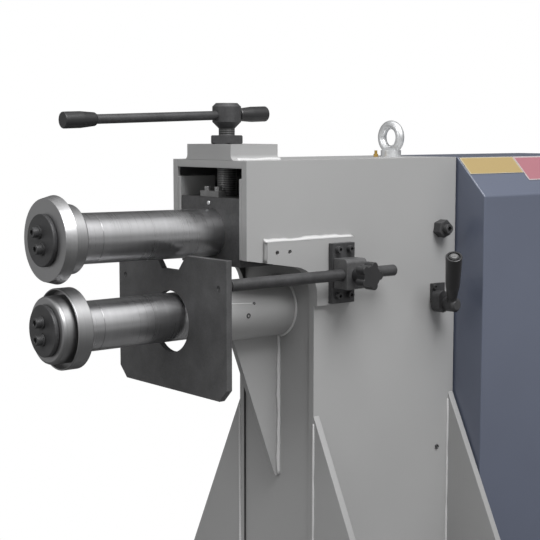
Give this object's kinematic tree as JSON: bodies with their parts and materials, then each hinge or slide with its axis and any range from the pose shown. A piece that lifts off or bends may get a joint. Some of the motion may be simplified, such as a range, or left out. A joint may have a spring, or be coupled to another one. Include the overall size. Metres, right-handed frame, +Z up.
{
  "type": "beading machine",
  "caption": "Motor-driven sheet-metal beading machine: welded C-frame on a flared stand, overhung roller shafts, screw-set upper shaft, sliding depth stop and drive cover.",
  "frame": {"origin": "on the floor under the middle of the base plate", "axes": "+X from the rollers towards the drive, +Y to the far side, +Z up"},
  "size_m": [1.1767, 0.5, 1.324],
  "materials": {
    "body_paint": "satin light grey paint",
    "stand_paint": "satin grey paint",
    "cover_paint": "fine-textured blue-grey paint",
    "turned_steel": "turned and polished",
    "black_steel": "blackened and oiled",
    "guide_steel": "ground",
    "cast_block": "machined",
    "galvanised": "zinc plated",
    "brass": "turned",
    "black_plastic": "moulded",
    "yellow_plate": "blank printed plate",
    "red_plate": "blank printed plate"
  },
  "bodies": {
    "machine_frame": {"base_plate": "stand_paint", "side_plate_near": "body_paint", "side_plate_far": "body_paint", "top_plate": "body_paint", "front_wall": "body_paint", "rear_wall": "body_paint", "front_flares": "body_paint", "rear_flares": "body_paint", "head_guides": "guide_steel", "neck_block": "body_paint", "horn_tube": "body_paint", "horn_gusset": "body_paint", "lower_bearing": "black_steel", "pivot_screws": "black_steel", "pivot_nuts": "black_steel", "side_pad": "body_paint", "clamp_plate": "black_steel", "clamp_screws": "black_steel", "clamp_block": "black_steel", "eye_bolt": "galvanised", "grease_nipple": "brass", "lock_nut": "black_steel", "lever_bracket": "black_steel", "drive_cover": "cover_paint", "rear_panel": "cover_paint", "label_yellow": "yellow_plate", "label_red": "red_plate"},
    "lower_spindle": {"lower_shaft": "turned_steel", "lower_roller": "turned_steel", "lower_washer": "black_steel", "lower_keepers": "black_steel"},
    "upper_arm": {"slide_block": "cast_block", "slide_cap": "guide_steel", "rear_rocker": "cast_block"},
    "upper_spindle": {"upper_shaft": "turned_steel", "upper_roller": "turned_steel", "upper_washer": "black_steel", "upper_keepers": "black_steel"},
    "pressure_screw": {"spindle": "black_steel"},
    "t_handle": {"screw_hub": "black_steel", "cross_bar": "black_steel", "cross_grips": "black_plastic"},
    "depth_stop": {"stop_rod": "black_steel", "stop_plate": "black_steel"},
    "clamp_knob": {"star_knob": "black_plastic"},
    "lever": {"lever_arm": "black_steel"},
    "lever_handle": {"lever_grip": "black_plastic"}
  },
  "joints": [
    {"name": "lower_shaft_spin", "type": "hinge", "parent": "machine_frame", "child": "lower_spindle", "pos_m": [-0.48, 0, 1], "axis": [1, 0, 0], "continuous": true},
    {"name": "upper_shaft_tilt", "type": "hinge", "parent": "machine_frame", "child": "upper_arm", "pos_m": [-0.064, 0, 1.11728], "axis": [0, 1, 0], "range_deg": [-0.3, 1.12]},
    {"name": "upper_shaft_spin", "type": "hinge", "parent": "upper_arm", "child": "upper_spindle", "pos_m": [-0.064, 0, 1.12018], "axis": [0.9999, 0, -0.0116], "continuous": true},
    {"name": "screw_travel", "type": "slide", "parent": "machine_frame", "child": "pressure_screw", "axis": [0, 0, 1], "range_m": [-0.00199, 0.0075]},
    {"name": "t_handle_turn", "type": "hinge", "parent": "pressure_screw", "child": "t_handle", "pos_m": [-0.4445, 0, 1.3], "axis": [0, 0, 1], "range_deg": [-200, 760]},
    {"name": "stop_slide", "type": "slide", "parent": "machine_frame", "child": "depth_stop", "axis": [1, 0, 0], "range_m": [-0.07, 0.05]},
    {"name": "clamp_knob_turn", "type": "hinge", "parent": "machine_frame", "child": "clamp_knob", "pos_m": [-0.2995, -0.165, 1.059], "axis": [0, -1, 0], "range_deg": [0, 540]},
    {"name": "lever_swing", "type": "hinge", "parent": "machine_frame", "child": "lever", "pos_m": [-0.076, -0.115, 0.9951], "axis": [0, 1, 0], "range_deg": [-40, 25]},
    {"name": "lever_grip_spin", "type": "hinge", "parent": "lever", "child": "lever_handle", "pos_m": [-0.07596, -0.13696, 1.00559], "axis": [-0.3954, -0.3954, 0.829], "continuous": true}
  ],
  "couplings": [
    {"joint": "screw_travel", "follows": "t_handle_turn", "m_per_rad": 0.00055704},
    {"joint": "upper_shaft_tilt", "follows": "t_handle_turn", "ratio": 0.001464},
    {"joint": "upper_shaft_spin", "follows": "lower_shaft_spin", "ratio": -1}
  ]
}
